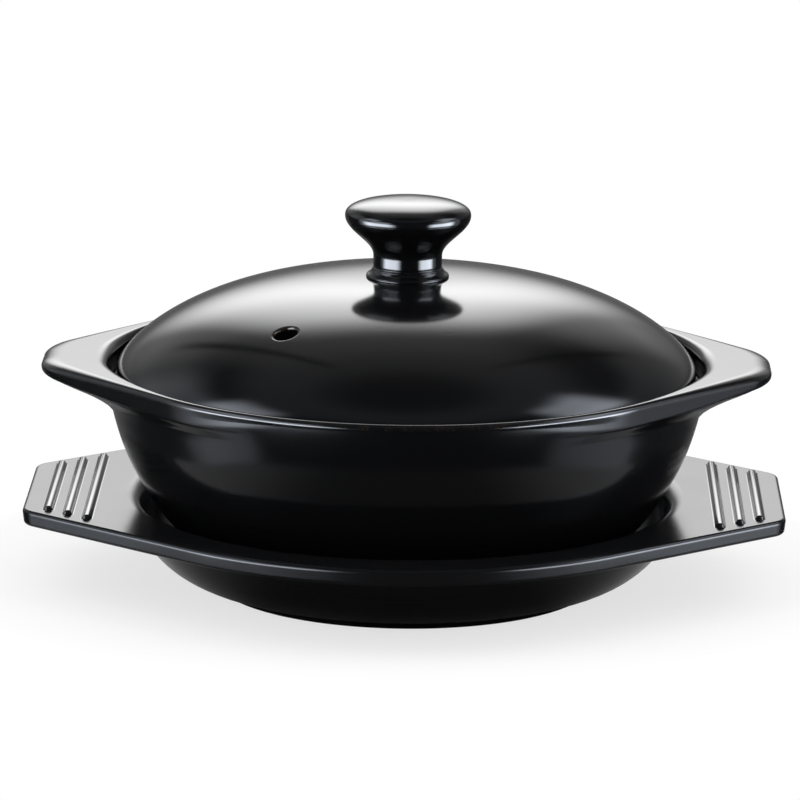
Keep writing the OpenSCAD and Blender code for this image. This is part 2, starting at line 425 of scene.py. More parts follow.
class Nodes:
    """Short calls to lay and join nodes in one tree."""

    def __init__(self, tree: bpy.types.NodeTree) -> None:
        """Takes the tree, and empties it."""
        self.tree = tree
        tree.nodes.clear()

    def new(self, kind: str, **settings: object) -> bpy.types.Node:
        """Adds a node with its settings."""
        node = self.tree.nodes.new(kind)
        for key, value in settings.items():
            setattr(node, key, value)
        return node

    def join(self, source: object, target: object) -> None:
        """Links an output to an input, or sets the input to a plain value."""
        if isinstance(source, bpy.types.NodeSocket):
            self.tree.links.new(source, target)
        else:
            target.default_value = source

    def math(self, operation: str, a: object, b: object = 0.0) -> object:
        """Result of a Math node."""
        node = self.new("ShaderNodeMath", operation=operation)
        self.join(a, node.inputs[0])
        self.join(b, node.inputs[1])
        return node.outputs[0]

    def span(self, value: object, *ends: object) -> object:
        """Value eased from one span to another.

        Args:
            value: The value.
            ends: Low and high end of its span, and of the span that it goes to.

        Returns:
            The eased value.
        """
        node = self.new("ShaderNodeMapRange", interpolation_type="SMOOTHSTEP")
        for source, target in zip((value, *ends), node.inputs[:5], strict=True):
            self.join(source, target)
        return node.outputs[0]

    def blend(self, share: object, a: object, b: object) -> object:
        """Colour a share of the way from a to b."""
        node = self.new("ShaderNodeMix", data_type="RGBA")
        self.join(share, node.inputs[0])
        self.join(a, node.inputs[6])
        self.join(b, node.inputs[7])
        return node.outputs[2]

    def mix_value(self, share: object, a: object, b: object) -> object:
        """Value a share of the way from a to b."""
        node = self.new("ShaderNodeMix", data_type="FLOAT")
        self.join(share, node.inputs[0])
        self.join(a, node.inputs[2])
        self.join(b, node.inputs[3])
        return node.outputs[0]

    def noise(
        self, where: object, scale: object, detail: float = 2.0, rough: float = 0.5
    ) -> object:
        """Value of a Noise texture at a place."""
        node = self.new("ShaderNodeTexNoise", normalize=True)
        self.join(where, node.inputs["Vector"])
        self.join(scale, node.inputs["Scale"])
        node.inputs["Detail"].default_value = detail
        node.inputs["Roughness"].default_value = rough
        return node.outputs["Fac"]

    def camera_rays(self) -> object:
        """1 for what the camera sees straight, and 0 for the rest."""
        return self.new("ShaderNodeLightPath").outputs["Is Camera Ray"]

    def mirror_rays(self) -> object:
        """1 for what shows in a shiny or a clear surface, and 0 for the rest."""
        path = self.new("ShaderNodeLightPath").outputs
        return self.math("MAXIMUM", path["Is Glossy Ray"], path["Is Transmission Ray"])


def group(
    name: str, inputs: dict[str, float], outputs: Sequence[str]
) -> tuple[Nodes, object, object]:
    """A new shader node group.

    Args:
        name: The group's name.
        inputs: Its value inputs with their defaults.
        outputs: Names of its value outputs.

    Returns:
        The calls on its tree, the node with its inputs and the node with its outputs.
    """
    tree = bpy.data.node_groups.new(name, "ShaderNodeTree")
    for label, value in inputs.items():
        socket = tree.interface.new_socket(label, in_out="INPUT", socket_type="NodeSocketFloat")
        socket.default_value = value
    for label in outputs:
        tree.interface.new_socket(label, in_out="OUTPUT", socket_type="NodeSocketFloat")
    nodes = Nodes(tree)
    return nodes, nodes.new("NodeGroupInput"), nodes.new("NodeGroupOutput")


class Effects:
    """Effects that several finishes share, each a node group built once.

    Attributes:
        PITTED: Level of a cell's random colour above which it holds a pit.
        PIT_R: Radius of a pit, as a share of a cell.
        WORN: Levels of the wear between which the coating goes.
    """

    PITTED = 0.9
    PIT_R = 0.16
    WORN = (-0.1, 0.35)

    def __init__(self) -> None:
        """Builds the groups."""
        self.mottle = self._mottle()
        self.relief = self._relief()
        self.wear = self._wear()

    @staticmethod
    def _mottle() -> bpy.types.NodeTree:
        """Slow blotches with finer ones in them, from 0 to 1."""
        n, given, made = group("mottle", {"Size": 20.0}, ("Value",))
        where = n.new("ShaderNodeTexCoord").outputs["Object"]
        slow = n.noise(where, given.outputs["Size"], 4.0, 0.6)
        n.join(n.span(slow, 0.0, 1.0, 0.0, 1.0), made.inputs["Value"])
        return n.tree

    def _relief(self) -> bpy.types.NodeTree:
        """Height of a surface in micrometres: slow waves, peel and pits."""
        sizes = {"Wave size": 30.0, "Peel size": 500.0, "Pit size": 250.0}
        heights = {"Wave": 0.0, "Peel": 0.0, "Pits": 0.0}
        n, given, made = group("relief", {**heights, **sizes}, ("Height",))
        where = n.new("ShaderNodeTexCoord").outputs["Object"]
        swell = n.noise(where, given.outputs["Wave size"], 1.0)
        grain = n.noise(where, given.outputs["Peel size"], 1.0)
        wave = n.math("MULTIPLY", swell, given.outputs["Wave"])
        peel = n.math("MULTIPLY", grain, given.outputs["Peel"])
        spots = n.new("ShaderNodeTexVoronoi", feature="F1")
        n.join(where, spots.inputs["Vector"])
        n.join(given.outputs["Pit size"], spots.inputs["Scale"])
        chosen = n.new("ShaderNodeSeparateColor")
        n.join(spots.outputs["Color"], chosen.inputs[0])
        rare = n.math("GREATER_THAN", chosen.outputs[0], self.PITTED)
        round_pit = n.span(spots.outputs["Distance"], 0.0, self.PIT_R, 1.0, 0.0)
        deep = n.math("MULTIPLY", round_pit, rare)
        pits = n.math("MULTIPLY", deep, given.outputs["Pits"])
        n.join(n.math("SUBTRACT", n.math("ADD", wave, peel), pits), made.inputs["Height"])
        return n.tree

    def _wear(self) -> bpy.types.NodeTree:
        """Where a coating has thinned or rubbed: the mesh's own mask, broken up by noise."""
        n, given, made = group("wear", {"Breaks": 300.0, "Reach": 0.5}, ("Mask",))
        where = n.new("ShaderNodeTexCoord").outputs["Object"]
        thin = n.new("ShaderNodeAttribute", attribute_name="thin").outputs["Fac"]
        broken = n.math("SUBTRACT", n.noise(where, given.outputs["Breaks"], 3.0, 0.6), 0.5)
        level = n.math("ADD", n.math("SUBTRACT", thin, given.outputs["Reach"]), broken)
        n.join(n.span(level, *self.WORN, 0.0, 1.0), made.inputs["Mask"])
        return n.tree


@dataclass(frozen=True)
class Surface:
    """What all finishes have: how they are laid as nodes.

    Attributes:
        colour: The main colour, linear.
        worn: The colour where the coating has thinned.
        roughness: Roughness where it is smoothest.
        roughness_spread: How much rougher it gets in blotches.
        worn_roughness: Roughness where the coating has thinned.
        ior: Index of refraction.
        blotch_size: Blotches to the metre.
        wave: Height of slow waves, in micrometres.
        wave_size: Waves to the metre.
        peel: Height of the fine peel, in micrometres.
        peel_size: Peel to the metre.
        pits: Depth of the rare pits, in micrometres.
        pit_size: Pits to the metre.
        specks: Share of the second colour in fine grain.
        grain_size: Grains to the metre.
        grain_span: Levels of the grain's noise between which a speck fades in.
    """

    colour: tuple[float, float, float]
    worn: tuple[float, float, float]
    roughness: float
    roughness_spread: float
    worn_roughness: float
    ior: float
    blotch_size: float = 20.0
    wave: float = 0.0
    wave_size: float = 30.0
    peel: float = 0.0
    peel_size: float = 500.0
    pits: float = 0.0
    pit_size: float = 250.0
    specks: float = 0.0
    grain_size: float = 900.0
    grain_span: tuple[float, float] = (0.45, 0.62)

    def material(self, name: str, effects: Effects) -> bpy.types.Material:
        """Lays the finish as a material.

        Args:
            name: The material's name.
            effects: The shared node groups.

        Returns:
            The material.
        """
        material = bpy.data.materials.new(name)
        material.use_nodes = True
        n = Nodes(material.node_tree)
        shader = n.new("ShaderNodeBsdfPrincipled")
        n.join(shader.outputs[0], n.new("ShaderNodeOutputMaterial").inputs["Surface"])
        shader.inputs["IOR"].default_value = self.ior

        mottle = n.new("ShaderNodeGroup", node_tree=effects.mottle)
        mottle.inputs["Size"].default_value = self.blotch_size
        wear = n.new("ShaderNodeGroup", node_tree=effects.wear)
        where = n.new("ShaderNodeTexCoord").outputs["Object"]
        grain = n.span(n.noise(where, self.grain_size), *self.grain_span, 0.0, self.specks)

        thin, bare = wear.outputs["Mask"], (*self.worn, 1.0)
        colour = n.blend(grain, (*self.colour, 1.0), bare)
        n.join(n.blend(thin, colour, bare), shader.inputs["Base Color"])
        spread = n.math("MULTIPLY", mottle.outputs["Value"], self.roughness_spread)
        rough = n.math("ADD", spread, self.roughness)
        worn = n.math("MULTIPLY", thin, self.worn_roughness)
        n.join(n.math("MAXIMUM", rough, worn), shader.inputs["Roughness"])

        relief = n.new("ShaderNodeGroup", node_tree=effects.relief)
        for label, value in (
            ("Wave", self.wave),
            ("Wave size", self.wave_size),
            ("Peel", self.peel),
            ("Peel size", self.peel_size),
            ("Pits", self.pits),
            ("Pit size", self.pit_size),
        ):
            relief.inputs[label].default_value = value
        bump = n.new("ShaderNodeBump")
        bump.inputs["Distance"].default_value = MICRON
        n.join(relief.outputs["Height"], bump.inputs["Height"])
        n.join(bump.outputs[0], shader.inputs["Normal"])
        return material


GLAZE = Surface(
    colour=(0.0030, 0.0031, 0.0035),
    worn=(0.012, 0.009, 0.007),
    roughness=0.11,
    roughness_spread=0.03,
    worn_roughness=0.15,
    ior=1.30,
    blotch_size=30.0,
    wave=14.0,
    wave_size=22.0,
    peel=1.2,
    peel_size=420.0,
    pits=18.0,
    pit_size=120.0,
)

MELAMINE = Surface(
    colour=(0.0050, 0.0051, 0.0056),
    worn=(0.012, 0.012, 0.013),
    roughness=0.15,
    roughness_spread=0.05,
    worn_roughness=0.2,
    ior=1.20,
    blotch_size=45.0,
    wave=6.0,
    wave_size=35.0,
    peel=1.5,
    peel_size=1500.0,
)

FINISHES = {
    Finish.GLAZE: GLAZE,
    Finish.FLANK: replace(GLAZE, ior=1.22, roughness=0.14),
    Finish.CLAY: Surface(
        colour=(0.150, 0.118, 0.092),
        worn=(0.060, 0.045, 0.036),
        roughness=0.75,
        roughness_spread=0.15,
        worn_roughness=0.8,
        ior=1.45,
        blotch_size=60.0,
        peel=60.0,
        peel_size=900.0,
        pits=80.0,
        pit_size=500.0,
        specks=0.8,
        grain_size=1400.0,
    ),
    Finish.MELAMINE: MELAMINE,
    Finish.RUBBED: replace(MELAMINE, ior=1.48, roughness=0.10, roughness_spread=0.03),
}


@dataclass
class Dresser:
    """Makes each finish once."""

    effects: Effects = field(default_factory=Effects)
    made: dict[Finish, bpy.types.Material] = field(default_factory=dict)

    def __call__(self, finish: Finish) -> bpy.types.Material:
        """The material of a finish."""
        if finish not in self.made:
            self.made[finish] = FINISHES[finish].material(finish.value, self.effects)
        return self.made[finish]


@dataclass
class Tray:
    """The winged tray: well, lip, two wings with their ribs, foot ring. Sizes in millimetres.

    Attributes:
        plan: Outline of the lip and the wings.
        height: Height of the lip above the table.
        lip_t: Thickness of the lip.
        lip_round: Rounding of the lip's upper edge.
        lip_round_low: Rounding of its lower edge.
        lip_tilt: Lean of its outer face, inwards going down, in degrees.
        well_r: Radius of the well's mouth.
        well_round: Rounding of the mouth.
        well_floor_r: Radius of the well's flat floor.
        floor_rings: Radii of the rings that lay the floor.
        wall_t: Thickness of the wall.
        floor_t: Thickness of the floor.
        foot_r: Outer radius of the foot ring.
        foot_w: Width of the foot ring.
        foot_h: Height of the foot ring.
        bulge: Exponent of the wall's superellipse.
        foot_step: How far the wall's foot stands out past the foot ring.
        rib_count: Ribs on each wing.
        rib_in: Margin between the well's mouth and the ribs.
        rib_out: Margin between the ribs and the wing's end.
        rib_r: Radius of a rib.
        rib_top: Angle of a rib's first ring, just short of its crown, in degrees.
        rib_fillet: Radius of the fillet at a rib's foot.
        rib_sink: How deep a rib's skirt goes into the lip.
        rib_margin: Margin between a rib's end and the slanting edge.
        rib_steps: Chords of a rib's round end.
    """

    plan: Outline = field(default_factory=lambda: Outline(118.0, 280.0, 31.5, 10.0))
    height: float = 34.0
    lip_t: float = 6.0
    lip_round: float = 1.3
    lip_round_low: float = 1.2
    lip_tilt: float = 6.5
    well_r: float = 103.5
    well_round: float = 6.5
    well_floor_r: float = 67.0
    floor_rings: tuple[float, ...] = (12.0, 40.0)
    wall_t: float = 4.2
    floor_t: float = 4.5
    foot_r: float = 71.0
    foot_w: float = 5.0
    foot_h: float = 3.0
    bulge: float = 1.84
    foot_step: float = 0.8
    rib_count: int = 3
    rib_in: float = 8.2
    rib_out: float = 6.0
    rib_r: float = 1.6
    rib_top: float = 84.0
    rib_fillet: float = 0.9
    rib_sink: float = 0.3
    rib_margin: float = 7.0
    rib_steps: int = 16

    def skin(self) -> Skin:
        """The tray's rings from the middle of its well over the lip to the middle of its foot."""
        plan = self.plan.around()
        skin = Skin()
        well_z = self.foot_h + self.floor_t
        top = (self.well_r - self.well_round, self.height - self.well_round)
        inner = [(r, well_z) for r in self.floor_rings]
        inner += bowl((self.well_floor_r, well_z), top, self.bulge, 28)
        inner += arc((self.well_r, top[1]), self.well_round, 180, 90, 10)[1:]
        inner.append((self.well_r + HOLD, self.height))
        for r, z in inner:
            skin.add(on_circle(plan, r, z))
        mouth, lip = skin.rings[-1], edge(plan, self.lip_round + HOLD, self.height)
        for share in (0.25, 0.5, 0.75):
            skin.add(between(mouth, lip, share))
        skin.add(lip)
        low, outer = self.height - self.lip_t, self.lip_face()
        for depth, z in outer:
            skin.add(edge(plan, depth, z))
        under = edge(plan, outer[-1][0] + HOLD, low)
        skin.add(under)
        foot = (self.foot_r + self.foot_step, self.foot_h)
        join = (top[0] + self.wall_t, self.height - self.lip_t / 2)
        meets = on_circle(plan, join[0] + self.lip_round_low, low)
        for share in (0.33, 0.66, 1.0):
            skin.add(between(under, meets, share))
        meet_z = low - self.lip_round_low
        start = bowl_point(foot, join, self.bulge, bowl_angle(foot, join, self.bulge, meet_z))
        below = [(r, z) for r, z in bowl(foot, join, self.bulge, 30) if z < meet_z]
        for r, z in [start, *reversed(below)]:
            skin.add(on_circle(plan, r, z))
        for r, z in foot_ring(self.foot_r, self.foot_w, 0.0, self.foot_h):
            skin.add(on_circle(plan, r, z))
        return skin

    def lip_face(self) -> list[Point]:
        """Depth within the outline and height of the lip's outer face, with both its roundings."""
        low, tilt = self.height - self.lip_t, math.radians(self.lip_tilt)
        centre = (-self.lip_round, self.height - self.lip_round)
        face = arc(centre, self.lip_round, 90, -self.lip_tilt, 9)
        out, top_z = face[-1]
        fall = top_z - low - self.lip_round_low * (1 - math.sin(tilt))
        face += [(out - t * fall * math.tan(tilt), top_z - t * fall) for t in FACE_SHARES]
        inset = self.lip_round * (1 - math.cos(tilt)) + fall * math.tan(tilt)
        inset += self.lip_round_low * math.cos(tilt)
        centre = (-inset, low + self.lip_round_low)
        face += arc(centre, self.lip_round_low, -self.lip_tilt, -90, 6)
        return [(-x, z) for x, z in face]

    def rib(self, x: float) -> Skin:
        """One grip rib with a small fillet at its foot.

        Args:
            x: Its distance from the middle.

        Returns:
            Its rings, from the top down.
        """
        slant = self.plan.slant
        half = (self.plan.round_r - x * math.cos(slant)) / math.sin(slant)
        half -= self.rib_margin + self.rib_r
        reach = math.sqrt((self.rib_r + self.rib_fillet) ** 2 - self.rib_fillet**2)
        meet = math.degrees(math.atan2(self.rib_fillet, reach))
        profile = arc((0.0, 0.0), self.rib_r, self.rib_top, meet, 8)
        profile += arc((reach, self.rib_fillet), self.rib_fillet, 180 + meet, 268, 6)[1:]
        profile += [(reach + self.rib_sink / 2, -self.rib_sink / 5)]
        profile += [(reach + self.rib_sink * 2 / 3, -self.rib_sink)]
        skin = Skin()
        for out, up in profile:
            ring = []
            for side in (1, -1):
                for i in range(self.rib_steps + 1):
                    a = mix(0, math.pi, i / self.rib_steps) + (0 if side > 0 else math.pi)
                    y = side * half + out * math.sin(a)
                    ring.append(Vector((x + out * math.cos(a), y, self.height + up)))
            skin.add(ring)
        return skin

    def build(self, dress: Dresser) -> None:
        """Builds the tray and its ribs, and hangs them on the tray's body."""
        body = place("tray_moulding", self.skin().mesh("tray_moulding"), [dress(Finish.MELAMINE)])
        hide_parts("tray")
        pieces = [body]
        low, high = self.well_r + self.rib_in, self.plan.length / 2 - self.rib_out
        for i in range(self.rib_count):
            x = mix(low, high, (i + 0.5) / self.rib_count)
            for side, sign in (("right", 1), ("left", -1)):
                name = f"tray_rib_{side}_{i + 1}"
                mesh = self.rib(x).mesh(name)
                if sign < 0:
                    mesh.transform(Matrix.Rotation(math.pi, 4, "Z"))
                pieces.append(place(name, mesh, [dress(Finish.RUBBED)]))
        for piece in pieces:
            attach(piece, "tray")
        LOG.info("tray: %d pieces", len(pieces))


@dataclass
class Pot:
    """The shallow bowl with its two lugs. Sizes in millimetres.

    Attributes:
        plan: Outline of the rim and the lugs.
        base_z: Height of the foot's underside above the table.
        height: Height of the pot.
        lug_t: Thickness of a lug at its end.
        lug_root_t: Thickness of the rim, where a lug starts.
        rim_round: Rounding of the rim.
        lug_round: Height of the rounding of a lug's upper edge.
        lug_round_in: Rounding of the recess's mouth beside a lug.
        lug_crown: Width of the rounding of a lug's upper edge.
        lug_round_low: Rounding of a lug's lower edge.
        edge_tilt: Lean of a lug's outer face, inwards going down, in degrees.
        rim_tilt: The same at the front and the back, in degrees.
        web_h: Height of the web under a lug.
        rim_t: Thickness of the rim outside the recess.
        gallery_h: Depth of the recess.
        ledge_w: Width of the ledge that carries the lid.
        base_r: Outer radius of the foot ring.
        floor_t: Thickness of the floor.
        inner_floor_r: Radius of the flat floor inside.
        floor_rings: Radii of the rings that lay the floor.
        foot_h: Height of the foot ring.
        foot_w: Width of the foot ring.
        foot_step: How far the wall's foot stands out past the foot ring.
        bulge: Exponent of the wall's superellipse.
        draw_in: How far the wall is drawn in under the lugs.
        draw_z: Heights between which it is drawn in.
        ledge_round: Rounding of the ledge's inner edge.
        seat_r: Radius within which the ledge is bare.
        ledge_corner: Rounding of the corner behind the ledge.
        web: Shares of the way down the web, and of its reach there.
        plain: Turns of the normal between which a lug's section fades into the plain rim.
        face_points: Points of a section from the recess to the start of its outer face.
        flat_points: Its points on the flat top, where the glaze lies thick.
        wall_steps: Rings of the outside below the web.
        bare_rings: Rings of the foot ring's underside, which is bare.
    """

    plan: Outline = field(default_factory=lambda: Outline(113.3, 269.5, 7.0, 29.0))
    base_z: float = 7.5
    height: float = 77.8
    lug_t: float = 5.0
    lug_root_t: float = 8.0
    rim_round: float = 1.8
    lug_round: float = 3.0
    lug_round_in: float = 4.5
    lug_crown: float = 6.5
    lug_round_low: float = 1.5
    edge_tilt: float = 7.0
    rim_tilt: float = 2.0
    web_h: float = 13.5
    rim_t: float = 3.6
    gallery_h: float = 10.3
    ledge_w: float = 8.2
    base_r: float = 66.0
    floor_t: float = 6.0
    inner_floor_r: float = 60.0
    floor_rings: tuple[float, ...] = (12.0, 35.0)
    foot_h: float = 2.5
    foot_w: float = 8.0
    foot_step: float = 0.8
    bulge: float = 1.56
    draw_in: float = 1.4
    draw_z: tuple[float, float] = (45.0, 78.0)
    ledge_round: float = 1.5
    seat_r: float = 106.3
    ledge_corner: float = 0.8
    web: tuple[Point, ...] = (
        (0.12, 0.86),
        (0.24, 0.70),
        (0.37, 0.52),
        (0.52, 0.34),
        (0.67, 0.19),
        (0.83, 0.07),
        (1.0, 0.0),
    )
    plain: tuple[float, float] = (46.0, 68.0)
    face_points: int = 25
    flat_points: range = range(10, 14)
    wall_steps: int = 26
    bare_rings: range = range(3, 11)

    @property
    def rim_z(self) -> float:
        """Height of the rim above the table."""
        return self.base_z + self.height

    @property
    def foot(self) -> Point:
        """Radius and height of the wall's foot."""
        return (self.base_r + self.foot_step, self.base_z + self.foot_h)

    def reach(self, x: float, y: float) -> float:
        """Share of a lug's full reach at an outline point, 0 along the round rim."""
        full = self.plan.length / 2 - self.plan.round_r
        return max(0.0, min(1.0, (math.hypot(x, y) - self.plan.round_r) / full))

    def inside(self) -> list[Spot]:
        """Profile of the inside, the ledge and the recess's wall."""
        floor_z, ledge_z = self.foot[1] + self.floor_t, self.rim_z - self.gallery_h
        gallery_r = self.plan.round_r - self.rim_t
        ledge_r = gallery_r - self.ledge_w
        top = (ledge_r, ledge_z - self.ledge_round)
        hollow = [(r, floor_z) for r in self.floor_rings]
        hollow += bowl((self.inner_floor_r, floor_z), top, self.bulge, 28)
        found = [(r, z, GLAZED, 0.0) for r, z in hollow]
        brow = arc((ledge_r + self.ledge_round, top[1]), self.ledge_round, 180, 90, 5)[1:]
        found += [(r, z, GLAZED, 0.4) for r, z in brow]
        centre = (gallery_r - self.ledge_corner, ledge_z + self.ledge_corner)
        corner = arc(centre, self.ledge_corner, -90, 0, 4)
        flat = line(brow[-1], corner[0], 6) + corner
        found += [(r, z, BARE if r < self.seat_r else GLAZED, 0.5) for r, z in flat]
        return found + [(gallery_r, corner[-1][1] + up, GLAZED, 0.0) for up in (HOLD, 2.2)]

    def edge_points(self, x: float, y: float, turn: float) -> list[Vector]:
        """Section through the rim or a lug: mouth, top, outer face and underside to the wall.

        Args:
            x: Outline point along X.
            y: Outline point along Y.
            turn: Turn of the outline's normal there, in radians.

        Returns:
            The points, from the recess over the top to the wall.
        """
        q, rim_z, fade = self.reach(x, y), self.rim_z, self.fade(turn)
        low = rim_z - mix(self.lug_root_t, self.lug_t, q)
        gallery_r = self.plan.round_r - self.rim_t
        mouth = mix(0.7 * (self.rim_t - self.rim_round), self.lug_round_in, q)
        out = Vector((x, y, 0)).normalized()
        inner = arc((gallery_r + mouth, rim_z - mouth), mouth, 180, 90, 9)
        points = [r * out + Vector((0, 0, z)) for r, z in inner]
        tilt = math.radians(mix(self.edge_tilt, self.rim_tilt, fade))
        big = mix(self.rim_round, self.lug_round, q)
        wide = mix(self.rim_round, self.lug_crown, q)

        def at(depth: float, z: float) -> Vector:
            """The point at a depth within the outline and a height."""
            return Vector((x - depth * math.cos(turn), y - depth * math.sin(turn), z))

        crown = at(wide, rim_z)
        points += [points[-1].lerp(crown, share) for share in (0.06, 0.35, 0.65, 0.94)]
        angles = [mix(math.pi / 2, -tilt, i / 10) for i in range(11)]
        points += [at(wide * (1 - math.cos(a)), rim_z - big * (1 - math.sin(a))) for a in angles]
        small = self.lug_round_low * mix(0.5, 1, q)
        start, end = points[-1].z, low + small * (1 - math.sin(tilt))
        depth = wide * (1 - math.cos(tilt))
        levels = [mix(start, end, share) for share in (0.15, 0.5, 0.85, 1.0)]
        slope = [(depth + (start - z) * math.tan(tilt), z) for z in levels]
        points += [at(*spot) for spot in slope]
        centre = slope[-1][0] + small * math.cos(tilt)
        for i in range(1, 7):
            a = mix(-tilt, -math.pi / 2, i / 6)
            z = low + small * (1 + math.sin(a)) - 0.02 * i
            points.append(at(centre - small * math.cos(a), z))
        tip = at(centre, low)
        for down, share in self.web:
            z = mix(low - 0.12, self.web_z(q), down)
            p = (self.wall(z, fade) * out).lerp(Vector((tip.x, tip.y, 0)), share)
            points.append(Vector((p.x, p.y, z)))
        below = len(points) - self.face_points
        for i in range(below):
            z = mix(start, self.web_z(q), (i + 1) / below)
            plain = self.wall(z, fade) * out + Vector((0, 0, z))
            points[self.face_points + i] = points[self.face_points + i].lerp(plain, fade)
        return points

    def fade(self, turn: float) -> float:
        """How far the rim runs plainly into the wall, 0 at the lugs and 1 at the front and back."""
        low, high = self.plain
        slew = math.degrees(math.asin(min(1.0, abs(math.sin(turn)))))
        return smooth((slew - low) / (high - low))

    def skin(self) -> Skin:
        """The pot's rings from the middle of its inside over the rim to the middle of its foot."""
        plan = self.plan.around()
        skin = Skin()
        for r, z, finish, thin in self.inside():
            skin.add(on_circle(plan, r, z), finish, thin)
        sections = [self.edge_points(*station) for station in plan]
        for i, ring in enumerate(zip(*sections, strict=True)):
            if i >= self.face_points:
                skin.add(list(ring), FLANK, 0.1)
            else:
                skin.add(list(ring), GLAZED, 0.1 if i in self.flat_points else 0.5)
        for i in range(1, self.wall_steps + 1):
            ring = []
            for x, y, turn in plan:
                top = self.wall_angle(self.web_z(self.reach(x, y)))
                z = self.wall_z(top * (1 - i / self.wall_steps))
                out = Vector((x, y, 0)).normalized()
                ring.append(self.wall(z, self.fade(turn)) * out + Vector((0, 0, z)))
            skin.add(ring, FLANK)
        foot = foot_ring(self.base_r, self.foot_w, self.base_z, self.foot_h)
        for i, (r, z) in enumerate(foot):
            skin.add(on_circle(plan, r, z), BARE if i in self.bare_rings else FLANK)
        return skin

    def web_z(self, q: float) -> float:
        """Height at which the underside of the rim or of a lug of reach q meets the wall."""
        return self.rim_z - self.lug_t - self.web_h * mix(0.5, 1, q)

    def wall_angle(self, z: float) -> float:
        """Angle of the wall's superellipse at height z, in degrees."""
        return bowl_angle(self.foot, (self.plan.round_r, self.rim_z), self.bulge, z)

    def wall_z(self, angle: float) -> float:
        """Height of the wall at an angle of its superellipse."""
        return bowl_point(self.foot, (self.plan.round_r, self.rim_z), self.bulge, angle)[1]

    def wall(self, z: float, fade: float) -> float:
        """Radius of the wall at height z, drawn in a little under the lugs."""
        top, angle = (self.plan.round_r, self.rim_z), self.wall_angle(z)
        low, high = self.draw_z
        drawn = self.draw_in * smooth((z - low) / (high - low))
        return bowl_point(self.foot, top, self.bulge, angle)[0] - (1 - fade) * drawn

    def build(self, dress: Dresser) -> None:
        """Builds the pot and hangs it on its body."""
        mesh = self.skin().mesh("pot_bowl")
        finishes = [dress(finish) for finish in (Finish.GLAZE, Finish.CLAY, Finish.FLANK)]
        piece = place("pot_bowl", mesh, finishes)
        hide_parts("pot")
        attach(piece, "pot")
        LOG.info("pot: %d faces", len(mesh.polygons))


